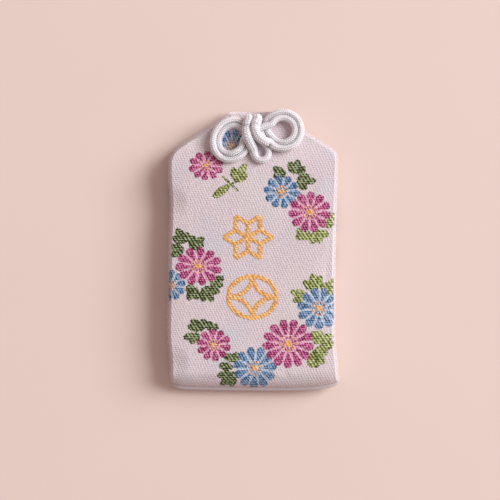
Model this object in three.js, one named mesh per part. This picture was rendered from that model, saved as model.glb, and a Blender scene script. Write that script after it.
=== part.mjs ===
// Padded brocade charm pouch lying on its back, tied with a braided cord bow.
// Millimetres, +Z out of the front, +Y towards the mouth, origin under the middle of the back.
import * as THREE from 'three';

// Pouch outline
const pouchWidth = 45;
const pouchHeight = 74;
const shoulderDrop = 11;
const topEdgeWidth = 14.3;
const topEdgeShift = -0.65;
const bottomSag = 1.5;
const bottomCornerReach = 2.4;
const shoulderReach = 2.5;
const topCornerReach = 1.5;
const outlineSteps = 90;

// Padded section
const panelThickness = 0.7;
const seamHeight = 2.7;
const seamGap = 0.9;
const frontEdgeWidth = 6;
const domeWidth = 18;
const domeRise = 0.6;
const backEdgeWidth = 5;
const neckLength = 16;
const neckCrown = 0.3;

// Mouth
const mouthClear = 0.575;
const mouthBlend = 9;
const lipStep = 0.6;
const lipDip = 1.4;
const lipDipWidth = 6;
const lipRise = 0.8;

// Things inside
const layerGap = 0.2;
const liningThickness = 0.3;
const liningInset = 3;
const cardSideClear = 4.5;
const cardEndClear = 4.5;
const cardNeckReach = 2;
const cardThickness = 0.8;
const cardCorner = 4;
const wrapperMargin = 2;
const wrapperWall = 0.25;
const bandHeight = 9;
const bandWall = 0.2;
const bandGap = 0.15;
const tabletThickness = 1;
const tabletSideGap = 0.5;
const tabletShoulder = 4;
const waddingThickness = 0.85;
const waddingCorner = 3;

// Seam
const stitchLength = 4;
const stitchClear = 3.6;
const threadDiameter = 0.3;
const threadClear = 0.08;

// Cord and bow, whose places along Y are counted from the top edge
const cordDiameter = 1.25;
const cordSides = 8;
const cordSteps = 180;
const strandPitch = 1.66;
const seatGap = 0.3;
const seatDrop = 1;
const bowRun = 13.75;
const hingeGap = 0.3;
const hingeDrop = 1.65;
const hingeRise = 2.7;
const leftStrandX = -1.25;
const rightStrandX = 1.05;
const tailEndDrop = 8.4;
const bindingLength = 3;
const bindingInset = 0.5;
const bindingWall = 0.35;
const bindingGap = 0.2;

// Two-turn loops of the bow: middle, outer and inner half sizes, lean of the long axis
const leftLoop = {
  x: -5.75,
  y: -7.65,
  outerLong: 5.45,
  innerLong: 3.9,
  outerWide: 4.7,
  innerWide: 3.2,
  lean: 62,
};
const rightLoop = { x: 7.7, y: -5.15, outer: 4.85, inner: 3.3 };
const loopStep = 15;

const colours = {
  brocade: 0xe0d4da,
  lining: 0xf2eee4,
  wadding: 0xfafafa,
  card: 0xcabfa8,
  paper: 0xf7f4ea,
  wood: 0xdcbf92,
  cord: 0xf2eef0,
  thread: 0xe6dfe2,
};

const halfWidth = pouchWidth / 2;
const halfHeight = pouchHeight / 2;
const shoulderY = halfHeight - shoulderDrop;
const cornerY = bottomSag - halfHeight;
const cordRadius = cordDiameter / 2;
const mouthGap = cordDiameter + 2 * mouthClear;

// The card fills the pouch below the neck, and the wrapper fits on the card
const cardBottomY = cornerY + cardEndClear;
const cardTopY = halfHeight - neckLength + cardNeckReach;
const cardWidth = pouchWidth - 2 * cardSideClear;
const cardHeight = cardTopY - cardBottomY;
const insertMiddle = (cardTopY + cardBottomY) / 2;
const wrapperWidth = cardWidth - 2 * wrapperMargin;
const wrapperHeight = cardHeight - 2 * wrapperMargin;
const wrapperThickness = tabletThickness + 2 * layerGap + 2 * wrapperWall;

// Heights of the layers from the back to the front
const backLiningTop = panelThickness + layerGap + liningThickness;
const cardBottom = backLiningTop + layerGap;
const bandBottom = cardBottom + cardThickness + layerGap;
const wrapperBottom = bandBottom + bandWall + bandGap;
const bandTop = wrapperBottom + wrapperThickness + bandGap + bandWall;
const waddingBottom = bandTop + layerGap;
const crownHeight = waddingBottom + waddingThickness + 2 * layerGap + liningThickness + panelThickness;
const frontEdgeRise = crownHeight - domeRise - seamHeight - seamGap / 2;

// The bow lies on a slope from the lip up to the crown
const bowSeat = seamHeight + mouthGap / 2 + lipRise;
const bowTilt = (crownHeight - bowSeat) / bowRun;
const hingeY = halfHeight - hingeDrop;
const hingeStrandHeight = bowSeat + hingeRise;
const tailEndY = halfHeight - tailEndDrop;
const strandsMiddle = (leftStrandX + rightStrandX) / 2;

function ease(value) {
  const t = Math.min(Math.max(value, 0), 1);
  return t * t * (3 - 2 * t);
}

function bell(value) {
  const t = Math.max(0, 1 - value * value);
  return t * t;
}

function roundOver(value) {
  const t = Math.min(Math.max(value, 0), 1);
  return Math.sqrt(1 - (1 - t) * (1 - t));
}

// Closed path through corners, each rounded by a curve that starts and ends one reach away from it
function roundedPath(start, corners) {
  const path = new THREE.Path();
  path.moveTo(start.x, start.y);
  corners.forEach(({ x, y, reach }, i) => {
    const corner = new THREE.Vector2(x, y);
    const before = i === 0 ? start : corners[i - 1];
    const after = i === corners.length - 1 ? start : corners[i + 1];
    const entry = new THREE.Vector2(before.x - x, before.y - y).setLength(reach).add(corner);
    const exit = new THREE.Vector2(after.x - x, after.y - y).setLength(reach).add(corner);
    path.lineTo(entry.x, entry.y);
    path.quadraticCurveTo(x, y, exit.x, exit.y);
  });
  path.lineTo(start.x, start.y);
  return path;
}

function pouchPath() {
  const topLeft = topEdgeShift - topEdgeWidth / 2;
  const topRight = topEdgeShift + topEdgeWidth / 2;
  return roundedPath({ x: topEdgeShift, y: halfHeight }, [
    { x: topLeft, y: halfHeight, reach: topCornerReach },
    { x: -halfWidth, y: shoulderY, reach: shoulderReach },
    { x: -halfWidth, y: cornerY, reach: bottomCornerReach },
    { x: 0, y: cornerY - bottomSag / 0.75, reach: halfWidth / 2 },
    { x: halfWidth, y: cornerY, reach: bottomCornerReach },
    { x: halfWidth, y: shoulderY, reach: shoulderReach },
    { x: topRight, y: halfHeight, reach: topCornerReach },
  ]);
}

const edgePath = pouchPath();
const edgePoints = edgePath.getSpacedPoints(outlineSteps).slice(0, outlineSteps);

function inset(point, depth) {
  return new THREE.Vector2(point.x * (1 - depth / halfWidth), point.y * (1 - depth / halfHeight));
}

function insideEdge(x, y) {
  return edgePoints.every((a, i) => {
    const b = edgePoints[(i + 1) % outlineSteps];
    return (b.x - a.x) * (y - a.y) - (b.y - a.y) * (x - a.x) >= 0;
  });
}

// Depth of the shrunken outline that passes through a point
function insetAt(x, y) {
  let low = 0;
  let high = halfWidth - 0.5;
  for (let i = 0; i < 24; i += 1) {
    const middle = (low + high) / 2;
    if (insideEdge(x / (1 - middle / halfWidth), y / (1 - middle / halfHeight))) low = middle;
    else high = middle;
  }
  return low;
}

function crown(y) {
  return neckCrown + (1 - neckCrown) * ease((halfHeight - y) / neckLength);
}

function rise(depth) {
  return frontEdgeRise * roundOver(depth / frontEdgeWidth) + domeRise * ease(depth / domeWidth);
}

// Half of the gap between the front and back edges, wider where the cord comes out
function halfGap(point, depth) {
  const nearTop = point.y > halfHeight - 1;
  const widening = nearTop ? bell((point.x - topEdgeShift) / (topEdgeWidth / 2)) : 0;
  return seamGap / 2 + ((mouthGap - seamGap) / 2) * widening * (1 - ease(depth / mouthBlend));
}

function frontOuter(point, depth, y) {
  return seamHeight + halfGap(point, depth) + crown(y) * rise(depth);
}

function frontInner(x, y) {
  return seamHeight + seamGap / 2 + crown(y) * rise(insetAt(x, y)) - panelThickness;
}

function backOuter(point, depth) {
  return (seamHeight - halfGap(point, 0)) * (1 - roundOver(depth / backEdgeWidth));
}

// Closed solid through rings of equal length, from the middle of its underside to the middle of its top
function ringSolid(rings) {
  const count = rings[0].length;
  const positions = [];
  const middle = (ring) => ring.reduce((sum, p) => sum.add(p), new THREE.Vector3()).divideScalar(count);
  const triangle = (...corners) => corners.forEach((p) => positions.push(p.x, p.y, p.z));
  const first = rings[0];
  const last = rings[rings.length - 1];
  const below = middle(first);
  const above = middle(last);
  for (let i = 0; i < count; i += 1) {
    const j = (i + 1) % count;
    triangle(below, first[j], first[i]);
    for (let k = 0; k + 1 < rings.length; k += 1) {
      triangle(rings[k][i], rings[k][j], rings[k + 1][j]);
      triangle(rings[k][i], rings[k + 1][j], rings[k + 1][i]);
    }
    triangle(above, last[i], last[j]);
  }
  const geometry = new THREE.BufferGeometry();
  geometry.setAttribute('position', new THREE.Float32BufferAttribute(positions, 3));
  geometry.computeVertexNormals();
  return geometry;
}

function ringOf(points, depth, height) {
  return points.map((point) => {
    const p = inset(point, depth);
    return new THREE.Vector3(p.x, p.y, height(point, p));
  });
}

function piece(name, geometry, colour, roughness) {
  const material = new THREE.MeshStandardMaterial({ color: colour, roughness, metalness: 0 });
  const mesh = new THREE.Mesh(geometry, material);
  mesh.name = name;
  return mesh;
}

// The front's top lip stops short of the back's and dips where the cord bends over it
function lipPoint(point) {
  if (point.y < halfHeight - 1) return point;
  const nearMiddle = bell((point.x - strandsMiddle) / lipDipWidth);
  const nearTop = bell((point.x - topEdgeShift) / (topEdgeWidth / 2));
  return new THREE.Vector2(point.x, point.y - lipStep * nearTop - lipDip * nearMiddle);
}

const domeDepths = [0.36, 0.53, 0.76].map((t) => t * halfWidth);

function frontPanel() {
  const lip = edgePoints.map(lipPoint);
  const ring = (depth, drop) => lip.map((point, i) => {
    const p = inset(point, depth);
    const rim = seamHeight + halfGap(edgePoints[i], depth);
    return new THREE.Vector3(p.x, p.y, Math.max(rim, frontOuter(edgePoints[i], depth, p.y) - drop));
  });
  const innerDepths = [...domeDepths].reverse().concat([0.83, 0.5, 0.27].map((t) => t * frontEdgeWidth));
  const outerDepths = [0.04, 0.13, 0.3, 0.53, 0.83].map((t) => t * frontEdgeWidth).concat(domeDepths);
  const rim = (depth) => lip.map((point, i) => {
    const p = inset(point, depth);
    return new THREE.Vector3(p.x, p.y, seamHeight + halfGap(edgePoints[i], 0));
  });
  const rings = [
    ...innerDepths.map((depth) => ring(depth, panelThickness)),
    rim(panelThickness),
    rim(0),
    ...outerDepths.map((depth) => ring(depth, 0)),
  ];
  return piece('front_panel', ringSolid(rings), colours.brocade, 0.7);
}

function backPanel() {
  const rim = (depth) => ringOf(edgePoints, depth, (point) => seamHeight - halfGap(point, 0));
  const outerDepths = [1, 0.64, 0.36, 0.16, 0.04].map((t) => t * backEdgeWidth);
  const innerDepths = [0.28, 0.52, 1].map((t) => t * backEdgeWidth);
  const rings = [
    ...outerDepths.map((depth) => ringOf(edgePoints, depth, (point) => backOuter(point, depth))),
    rim(0),
    rim(panelThickness),
    ...innerDepths.map((depth) => {
      const inside = (point) => backOuter(point, depth) + panelThickness;
      return ringOf(edgePoints, depth, inside);
    }),
  ];
  return piece('back_panel', ringSolid(rings), colours.brocade, 0.7);
}

function liningEdge() {
  return edgePoints.map((point) => new THREE.Vector2(point.x, Math.min(point.y, shoulderY)));
}

function frontLining() {
  const edge = liningEdge();
  const top = (point, p) => frontInner(p.x, p.y) - layerGap;
  const under = (point, p) => top(point, p) - liningThickness;
  const depths = [liningInset, 0.83 * frontEdgeWidth, ...domeDepths];
  const rings = [
    ...[...depths].reverse().map((depth) => ringOf(edge, depth, under)),
    ...depths.map((depth) => ringOf(edge, depth, top)),
  ];
  return piece('front_lining', ringSolid(rings), colours.lining, 0.9);
}

function backLining() {
  const ring = (height) => ringOf(liningEdge(), backEdgeWidth, () => height);
  const rings = [ring(backLiningTop - liningThickness), ring(backLiningTop)];
  return piece('back_lining', ringSolid(rings), colours.lining, 0.9);
}

function extrude(shape, depth) {
  return new THREE.ExtrudeGeometry(shape, { depth, bevelEnabled: false, curveSegments: 6 });
}

// Flat plate with its lower face at a height
function plate(shape, bottom, thickness) {
  const geometry = extrude(shape, thickness);
  geometry.translate(0, insertMiddle, bottom);
  return geometry;
}

function roundedPlate(width, height, corner) {
  return roundedPath({ x: 0, y: height / 2 }, [
    { x: -width / 2, y: height / 2, reach: corner },
    { x: -width / 2, y: -height / 2, reach: corner },
    { x: width / 2, y: -height / 2, reach: corner },
    { x: width / 2, y: height / 2, reach: corner },
  ]);
}

function stiffenerCard() {
  const shape = new THREE.Shape(roundedPlate(cardWidth, cardHeight, cardCorner).getPoints(6));
  return piece('stiffener_card', plate(shape, cardBottom, cardThickness), colours.card, 0.9);
}

// Flat sleeve open at both ends
function sleeve(width, thickness, wall, height) {
  const outline = (w, t) => {
    const corners = [[-w, -t], [w, -t], [w, t], [-w, t]];
    return corners.map(([x, y]) => new THREE.Vector2(x / 2, y / 2));
  };
  const shape = new THREE.Shape(outline(width, thickness));
  shape.holes.push(new THREE.Path(outline(width - 2 * wall, thickness - 2 * wall)));
  const geometry = extrude(shape, height);
  geometry.translate(0, 0, -height / 2);
  geometry.rotateX(Math.PI / 2);
  geometry.translate(0, insertMiddle, wrapperBottom + wrapperThickness / 2);
  return geometry;
}

function paperWrapper() {
  const geometry = sleeve(wrapperWidth, wrapperThickness, wrapperWall, wrapperHeight);
  return piece('paper_wrapper', geometry, colours.paper, 0.85);
}

function wrapperBand() {
  const grow = 2 * (bandGap + bandWall);
  const geometry = sleeve(wrapperWidth + grow, wrapperThickness + grow, bandWall, bandHeight);
  return piece('wrapper_band', geometry, colours.paper, 0.85);
}

function charmTablet() {
  const x = wrapperWidth / 2 - wrapperWall - tabletSideGap;
  const y = wrapperHeight / 2 - tabletSideGap;
  const shape = new THREE.Shape();
  shape.moveTo(-x, -y);
  shape.lineTo(x, -y);
  shape.lineTo(x, y - tabletShoulder);
  shape.lineTo(0, y);
  shape.lineTo(-x, y - tabletShoulder);
  shape.closePath();
  const bottom = wrapperBottom + wrapperWall + layerGap;
  return piece('charm_tablet', plate(shape, bottom, tabletThickness), colours.wood, 0.6);
}

function wadding() {
  const edge = roundedPlate(wrapperWidth, wrapperHeight, waddingCorner).getSpacedPoints(48).slice(0, 48);
  const drop = 2 * layerGap + liningThickness;
  const ring = (scale, height) => edge.map((point) => {
    const x = point.x * scale;
    const y = point.y * scale + insertMiddle;
    return new THREE.Vector3(x, y, height(x, y));
  });
  const top = (x, y) => frontInner(x, y) - drop;
  const rings = [ring(1, () => waddingBottom), ring(1, top), ring(0.8, top), ring(0.5, top), ring(0.2, top)];
  return piece('wadding', ringSolid(rings), colours.wadding, 1);
}

// Round tube along points
function tube(points, diameter, sides, steps) {
  const circle = Array.from({ length: sides }, (_, i) => {
    const angle = (i / sides) * 2 * Math.PI;
    return new THREE.Vector2(Math.cos(angle), Math.sin(angle)).multiplyScalar(diameter / 2);
  });
  const extrudePath = new THREE.CatmullRomCurve3(points);
  return new THREE.ExtrudeGeometry(new THREE.Shape(circle), { steps, extrudePath, bevelEnabled: false });
}

// Blind stitch that steps between the front and back edges, from one side of the cord round to the other
function seamThread() {
  const length = edgePath.getLength();
  const first = stitchClear / length;
  const stitches = Math.round((length - 2 * stitchClear) / stitchLength);
  const swing = (seamGap - threadDiameter) / 2 - threadClear;
  const points = [];
  for (let i = 0; i <= 2 * stitches; i += 1) {
    const along = first + (1 - 2 * first) * (i / (2 * stitches));
    const p = inset(lipPoint(edgePath.getPointAt(along)), panelThickness / 2);
    const side = i % 2 === 0 ? 1 : -1;
    points.push(new THREE.Vector3(p.x, p.y, seamHeight + side * swing));
  }
  return piece('seam_thread', tube(points, threadDiameter, 5, 4 * stitches), colours.thread, 0.6);
}

// Point of the bow: y is counted from the top edge, level in strands above the sloping seat on the front
function bowPoint([x, y, level]) {
  const seat = bowSeat - bowTilt * (y + seatDrop);
  return new THREE.Vector3(x, halfHeight + y, seat + seatGap + cordRadius + level * strandPitch);
}

// From the mouth down over the left loop, round the small loop and up behind the knot
const routeIn = [
  [leftStrandX, -2.4, 1.06],
  [-1.5, -3.3, 1.25],
  [-1.75, -4.4, 1.5],
  [-1.8, -5.6, 2],
  [-1.65, -6.7, 2.15],
  [-1.25, -7.8, 1.8],
  [-0.7, -8.9, 1.2],
  [-0.2, -9.9, 0.5],
  [0.1, -11.1, 0],
  [0.55, -12.2, 0],
  [1.3, -12.9, 0],
  [2.25, -13.1, 0],
  [3.2, -12.7, 0],
  [3.85, -11.8, 0],
  [3.9, -10.6, 0],
  [3.3, -9.35, 0],
  [2.65, -8.05, 0],
  [2.3, -6.5, 0],
  [1.7, -5.15, 0],
  [0.8, -4.05, 0],
  [-0.4, -3.2, 0],
  [-1.75, -2.75, 0],
];

// From the left loop up across the knot to the right loop
const routeAcross = [
  [-2.65, -7.8, 0.85],
  [-1.5, -6.6, 1.06],
  [-0.2, -5.65, 1.06],
  [1.5, -4.8, 1.06],
  [3.2, -4.1, 1.06],
];

// From the right loop over the knot and back to the mouth
const routeOut = [
  [3.3, -8.35, 1.2],
  [2.3, -7.75, 1.65],
  [1.25, -6.8, 2],
  [0.6, -5.7, 2.2],
  [0.35, -4.6, 2.2],
  [0.45, -3.6, 1.85],
  [0.75, -2.9, 1.4],
  [rightStrandX, -2.4, 1.06],
];

function leftLoopPoints() {
  const points = [];
  const lean = THREE.MathUtils.degToRad(leftLoop.lean);
  for (let turn = 0; turn <= 630; turn += loopStep) {
    const inner = ease((turn - 285) / 75);
    const long = leftLoop.outerLong + (leftLoop.innerLong - leftLoop.outerLong) * inner;
    const wide = leftLoop.outerWide + (leftLoop.innerWide - leftLoop.outerWide) * inner;
    const angle = THREE.MathUtils.degToRad(turn);
    const u = long * Math.cos(angle);
    const v = wide * Math.sin(angle);
    const outerLift = 0.55 * ease(turn / 60) * (1 - ease((turn - 130) / 60));
    const innerLift = 0.6 * ease((turn - 530) / 70);
    const level = turn < 285 ? outerLift : innerLift;
    points.push([
      leftLoop.x + u * Math.cos(lean) - v * Math.sin(lean),
      leftLoop.y + u * Math.sin(lean) + v * Math.cos(lean),
      level,
    ]);
  }
  return points;
}

function rightLoopPoints() {
  const points = [];
  for (let turn = 0; turn <= 650; turn += loopStep) {
    const outer = ease((turn - 290) / 75);
    const radius = rightLoop.inner + (rightLoop.outer - rightLoop.inner) * outer;
    const angle = THREE.MathUtils.degToRad(150 - turn);
    const down = turn < 180 ? 1.06 - 0.4 * ease(turn / 75) : 0.66 * (1 - ease((turn - 210) / 90));
    const level = turn < 330 ? down : 0.66 * ease((turn - 345) / 60);
    points.push([rightLoop.x + radius * Math.cos(angle), rightLoop.y + radius * Math.sin(angle), level]);
  }
  return points;
}

function bowRoute() {
  const endOf = (x) => new THREE.Vector3(x, hingeY - hingeGap / 2, hingeStrandHeight);
  const middle = [...routeIn, ...leftLoopPoints(), ...routeAcross, ...rightLoopPoints(), ...routeOut];
  return [endOf(leftStrandX), ...middle.map(bowPoint), endOf(rightStrandX)];
}

// Least clear distance between parts of a cord that aren't neighbours along it
function leastSelfGap(points, diameter) {
  const curve = new THREE.CatmullRomCurve3(points);
  const samples = curve.getSpacedPoints(900);
  const step = curve.getLength() / 900;
  const skip = Math.ceil((3 * diameter) / step);
  let least = { gap: Infinity, at: null };
  for (let i = 0; i < samples.length; i += 1) {
    for (let j = i + skip; j < samples.length; j += 1) {
      const gap = samples[i].distanceTo(samples[j]) - diameter;
      if (gap < least.gap) least = { gap, at: samples[i] };
    }
  }
  return { ...least, length: curve.getLength() };
}

function tieCord() {
  const points = bowRoute();
  const { gap, at, length } = leastSelfGap(points, cordDiameter);
  const place = at.toArray().map((v) => v.toFixed(1)).join(', ');
  console.log(`bow cord: ${length.toFixed(1)} mm long, least self gap ${gap.toFixed(2)} mm near ${place}`);
  return piece('tie_cord', tube(points, cordDiameter, cordSides, cordSteps), colours.cord, 0.8);
}

// The cord's end bends over the front lip and goes down into the mouth: Y from the top edge, Z from the seam
const tailBend = [
  [-1.14, 4.4],
  [-0.92, 3.85],
  [-0.88, 3.1],
  [-0.88, 2.3],
  [-0.95, 1.5],
  [-1.15, 0.65],
  [-1.8, 0.16],
  [-3, 0],
  [-6, 0],
];

function cordTail(name, x) {
  const points = [
    new THREE.Vector3(x, hingeY + hingeGap / 2, hingeStrandHeight),
    ...tailBend.map(([y, z]) => new THREE.Vector3(x, halfHeight + y, seamHeight + z)),
    new THREE.Vector3(x, tailEndY, seamHeight),
  ];
  return piece(name, tube(points, cordDiameter, cordSides, 22), colours.cord, 0.8);
}

function capsule(width, height) {
  const radius = height / 2;
  const straight = width / 2 - radius;
  const path = new THREE.Shape();
  path.absarc(straight, 0, radius, -Math.PI / 2, Math.PI / 2, false);
  path.absarc(-straight, 0, radius, Math.PI / 2, 1.5 * Math.PI, false);
  path.closePath();
  return path;
}

function tailBinding() {
  const innerHeight = cordDiameter + 2 * bindingGap;
  const innerWidth = rightStrandX - leftStrandX + innerHeight;
  const shape = capsule(innerWidth + 2 * bindingWall, innerHeight + 2 * bindingWall);
  shape.holes.push(new THREE.Path(capsule(innerWidth, innerHeight).getPoints(6)));
  const geometry = extrude(shape, bindingLength);
  geometry.rotateX(Math.PI / 2);
  geometry.translate(strandsMiddle, tailEndY + bindingInset + bindingLength, seamHeight);
  return piece('tail_binding', geometry, colours.thread, 0.7);
}

const charm = new THREE.Group();
charm.name = 'charm_pouch';
charm.add(
  frontPanel(),
  backPanel(),
  frontLining(),
  backLining(),
  wadding(),
  stiffenerCard(),
  paperWrapper(),
  wrapperBand(),
  charmTablet(),
  seamThread(),
  cordTail('cord_tail_left', leftStrandX),
  cordTail('cord_tail_right', rightStrandX),
  tailBinding(),
  tieCord(),
);

export default charm;
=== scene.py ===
import bpy
import math
import numpy as np
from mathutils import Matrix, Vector, noise
from mathutils.bvhtree import BVHTree


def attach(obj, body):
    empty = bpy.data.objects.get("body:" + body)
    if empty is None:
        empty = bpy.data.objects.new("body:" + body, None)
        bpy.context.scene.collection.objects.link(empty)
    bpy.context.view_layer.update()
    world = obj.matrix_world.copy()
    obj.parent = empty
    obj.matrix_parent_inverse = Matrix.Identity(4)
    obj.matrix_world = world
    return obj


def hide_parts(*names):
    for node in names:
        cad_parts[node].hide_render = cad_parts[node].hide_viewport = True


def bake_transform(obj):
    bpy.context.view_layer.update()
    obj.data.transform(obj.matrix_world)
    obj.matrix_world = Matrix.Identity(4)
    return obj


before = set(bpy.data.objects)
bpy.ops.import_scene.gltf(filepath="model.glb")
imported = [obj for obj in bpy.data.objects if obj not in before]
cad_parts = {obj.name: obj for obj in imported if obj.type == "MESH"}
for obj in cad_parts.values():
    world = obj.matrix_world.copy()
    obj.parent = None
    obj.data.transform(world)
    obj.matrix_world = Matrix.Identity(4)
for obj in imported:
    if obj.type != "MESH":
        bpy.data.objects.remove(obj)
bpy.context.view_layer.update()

# Brocade charm pouch lying on its back, tied with a braided cord bow.
# Shapes are in millimetres, and buildMesh turns them into metres. Materials are in metres.
mm = 0.001
print("stage: frame loaded")


def ease(value):
    t = np.clip(value, 0, 1)
    return t * t * (3 - 2 * t)


def bell(value):
    t = np.maximum(0, 1 - np.square(value))
    return t * t


def roundOver(value):
    t = np.clip(value, 0, 1)
    return np.sqrt(1 - (1 - t) ** 2)


def between(start, end, share):
    return start + (end - start) * share


def buildMesh(name, points, faces, material):
    mesh = bpy.data.meshes.new(name)
    mesh.from_pydata((np.asarray(points, float) * mm).tolist(), [], faces)
    mesh.shade_smooth()
    mesh.materials.append(material)
    obj = bpy.data.objects.new(name, mesh)
    bpy.context.scene.collection.objects.link(obj)
    return obj


# quads between rows of points, each row closed on itself or not
def gridFaces(rowCount, columnCount, closed=False, flip=False):
    faces = []
    for i in range(rowCount - 1):
        for j in range(columnCount if closed else columnCount - 1):
            k = (j + 1) % columnCount
            a, b = i * columnCount, (i + 1) * columnCount
            face = (a + j, a + k, b + k, b + j)
            faces.append(face[::-1] if flip else face)
    return faces


# smooth curve through points, the same kind that the cord's solid follows
def curveThrough(points, closed=False, steps=12):
    p = np.array(points, float)
    if closed:
        p = np.vstack([p[-1], p, p[0], p[1]])
    else:
        p = np.vstack([2 * p[0] - p[1], p, 2 * p[-1] - p[-2]])
    curve = []
    for a, b, c, d in zip(p, p[1:], p[2:], p[3:]):
        tb = np.linalg.norm(b - a) ** 0.5
        tc = tb + np.linalg.norm(c - b) ** 0.5
        td = tc + np.linalg.norm(d - c) ** 0.5
        for t in np.linspace(tb, tc, steps, endpoint=False):
            ab = a + (b - a) * t / tb
            bc = b + (c - b) * (t - tb) / (tc - tb)
            cd = c + (d - c) * (t - tc) / (td - tc)
            abc = ab + (bc - ab) * t / tc
            bcd = bc + (cd - bc) * (t - tb) / (td - tb)
            curve.append(abc + (bcd - abc) * (t - tb) / (tc - tb))
    if not closed:
        curve.append(p[-2])
    return np.array(curve)


# points of a polyline at shares of its length
def sampleLine(line, shares):
    steps = np.linalg.norm(np.diff(line, axis=0), axis=1)
    along = np.concatenate([[0], np.cumsum(steps)])
    places = np.asarray(shares) * along[-1]
    return np.stack([np.interp(places, along, axis) for axis in line.T], axis=1)


def lineLength(line):
    return float(np.linalg.norm(np.diff(line, axis=0), axis=1).sum())


# colour from 0 to 255 as it looks on a screen, made linear
def tone(red, green, blue):
    def linear(value):
        value = value / 255
        return value / 12.92 if value <= 0.04045 else ((value + 0.055) / 1.055) ** 2.4
    return (linear(red), linear(green), linear(blue), 1)


# Node helpers
def addNode(tree, kind, **settings):
    node = tree.nodes.new("ShaderNode" + kind)
    for name, value in settings.items():
        setattr(node, name, value)
    return node


def plug(tree, value, socket):
    if isinstance(value, bpy.types.NodeSocket):
        tree.links.new(value, socket)
    else:
        socket.default_value = value


def calc(tree, operation, a, b=0.0, c=0.0):
    node = addNode(tree, "Math", operation=operation)
    for value, socket in zip((a, b, c), node.inputs):
        plug(tree, value, socket)
    return node.outputs[0]


# a*x + b*y + c*z of the point on the cloth, counted in pitches
def across(tree, xyz, weights, pitch):
    total = 0.0
    for socket, weight in zip(xyz.outputs, weights):
        total = calc(tree, "MULTIPLY_ADD", socket, weight, total)
    return calc(tree, "DIVIDE", total, pitch)


def wave(tree, turns):
    swing = calc(tree, "SINE", calc(tree, "MULTIPLY", turns, 2 * math.pi))
    return calc(tree, "MULTIPLY_ADD", swing, 0.5, 0.5)


def noiseAt(tree, scale, detail=2.0):
    place = addNode(tree, "TexCoord")
    node = addNode(tree, "TexNoise")
    plug(tree, place.outputs["Object"], node.inputs["Vector"])
    plug(tree, scale, node.inputs["Scale"])
    node.inputs["Detail"].default_value = detail
    return node.outputs["Fac"]


# noise about zero
def speckAt(tree, scale):
    return calc(tree, "SUBTRACT", noiseAt(tree, scale), 0.5)


def clamped(tree, value):
    return calc(tree, "MINIMUM", calc(tree, "MAXIMUM", value, 0.0), 1.0)


def placeXyz(tree):
    place = addNode(tree, "TexCoord")
    xyz = addNode(tree, "SeparateXYZ")
    plug(tree, place.outputs["Object"], xyz.inputs[0])
    return xyz


def startGroup(name, inputs, outputs):
    group = bpy.data.node_groups.new(name, "ShaderNodeTree")
    for label, value in inputs.items():
        socket = group.interface.new_socket(label, in_out="INPUT", socket_type="NodeSocketFloat")
        socket.default_value = value
    for label in outputs:
        group.interface.new_socket(label, in_out="OUTPUT", socket_type="NodeSocketFloat")
    start = group.nodes.new("NodeGroupInput")
    end = group.nodes.new("NodeGroupOutput")
    return group, start, end


# steep diagonal ribs crossed by fine weft lines
twill = {
    "rib": (0.915, 0.407, 0.12), "weft": (0.05, 1.0, 0.4), "weftPitch": 0.8,
    "ribShare": 0.5, "weftShare": 0.5, "waver": 0.7, "waverScale": 220, "speckScale": 2700,
}


def makeTwillWeave():
    group, start, end = startGroup("twillWeave", {"Pitch": 0.0008, "Roughen": 2.4}, ["Shade", "Height"])
    xyz = placeXyz(group)
    pitch = start.outputs["Pitch"]
    waver = calc(group, "MULTIPLY", noiseAt(group, twill["waverScale"]), twill["waver"])
    rib = wave(group, calc(group, "ADD", across(group, xyz, twill["rib"], pitch), waver))
    weftPitch = calc(group, "MULTIPLY", pitch, twill["weftPitch"])
    weft = wave(group, across(group, xyz, twill["weft"], weftPitch))
    speck = speckAt(group, twill["speckScale"])
    body = calc(group, "MULTIPLY", weft, twill["weftShare"])
    body = calc(group, "MULTIPLY_ADD", rib, twill["ribShare"], body)
    height = calc(group, "MULTIPLY_ADD", speck, start.outputs["Roughen"], body)
    plug(group, height, end.inputs["Height"])
    plug(group, clamped(group, height), end.inputs["Shade"])
    return group


# rows of thread floats: painted shade darkens the colour between the rows, which are broken up along them
floats = {"crest": 0.5, "dash": 0.48, "speck": 1.7, "speckScale": 1700, "slip": 0.42}


def makeThreadFloats():
    group, start, end = startGroup("threadFloats", {"Row": 0.0005, "Float": 0.001}, ["Shade", "Height"])
    crest = addNode(group, "Attribute", attribute_name="crest").outputs["Fac"]
    xyz = placeXyz(group)
    row = across(group, xyz, (0.0, 1.0, 0.0), start.outputs["Row"])
    along = across(group, xyz, (1.0, 0.0, 0.5), start.outputs["Float"])
    dash = wave(group, calc(group, "MULTIPLY_ADD", row, floats["slip"], along))
    speck = speckAt(group, floats["speckScale"])
    # painted shade: the colour follows each float's crest, darker towards its low edges
    cell = calc(group, "MULTIPLY_ADD", crest, floats["crest"], calc(group, "MULTIPLY", dash, floats["dash"]))
    shade = calc(group, "MULTIPLY_ADD", speck, floats["speck"], cell)
    plug(group, clamped(group, shade), end.inputs["Shade"])
    plug(group, dash, end.inputs["Height"])
    return group


# loose fibres and specks of paper, card and wadding
speckle = {"fine": 0.6, "fineDetail": 4.0, "broad": 0.4, "broadScale": 0.12}


def makeFibreSpeck():
    group, start, end = startGroup("fibreSpeck", {"Scale": 900.0}, ["Shade", "Height"])
    fine = noiseAt(group, start.outputs["Scale"], speckle["fineDetail"])
    broad = noiseAt(group, calc(group, "MULTIPLY", start.outputs["Scale"], speckle["broadScale"]))
    shade = calc(group, "MULTIPLY", broad, speckle["broad"])
    shade = calc(group, "MULTIPLY_ADD", fine, speckle["fine"], shade)
    plug(group, shade, end.inputs["Shade"])
    plug(group, fine, end.inputs["Height"])
    return group


twillWeave = makeTwillWeave()
threadFloats = makeThreadFloats()
fibreSpeck = makeFibreSpeck()


def useGroup(tree, group, **values):
    node = addNode(tree, "Group")
    node.node_tree = group
    for label, value in values.items():
        node.inputs[label].default_value = value
    return node


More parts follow.
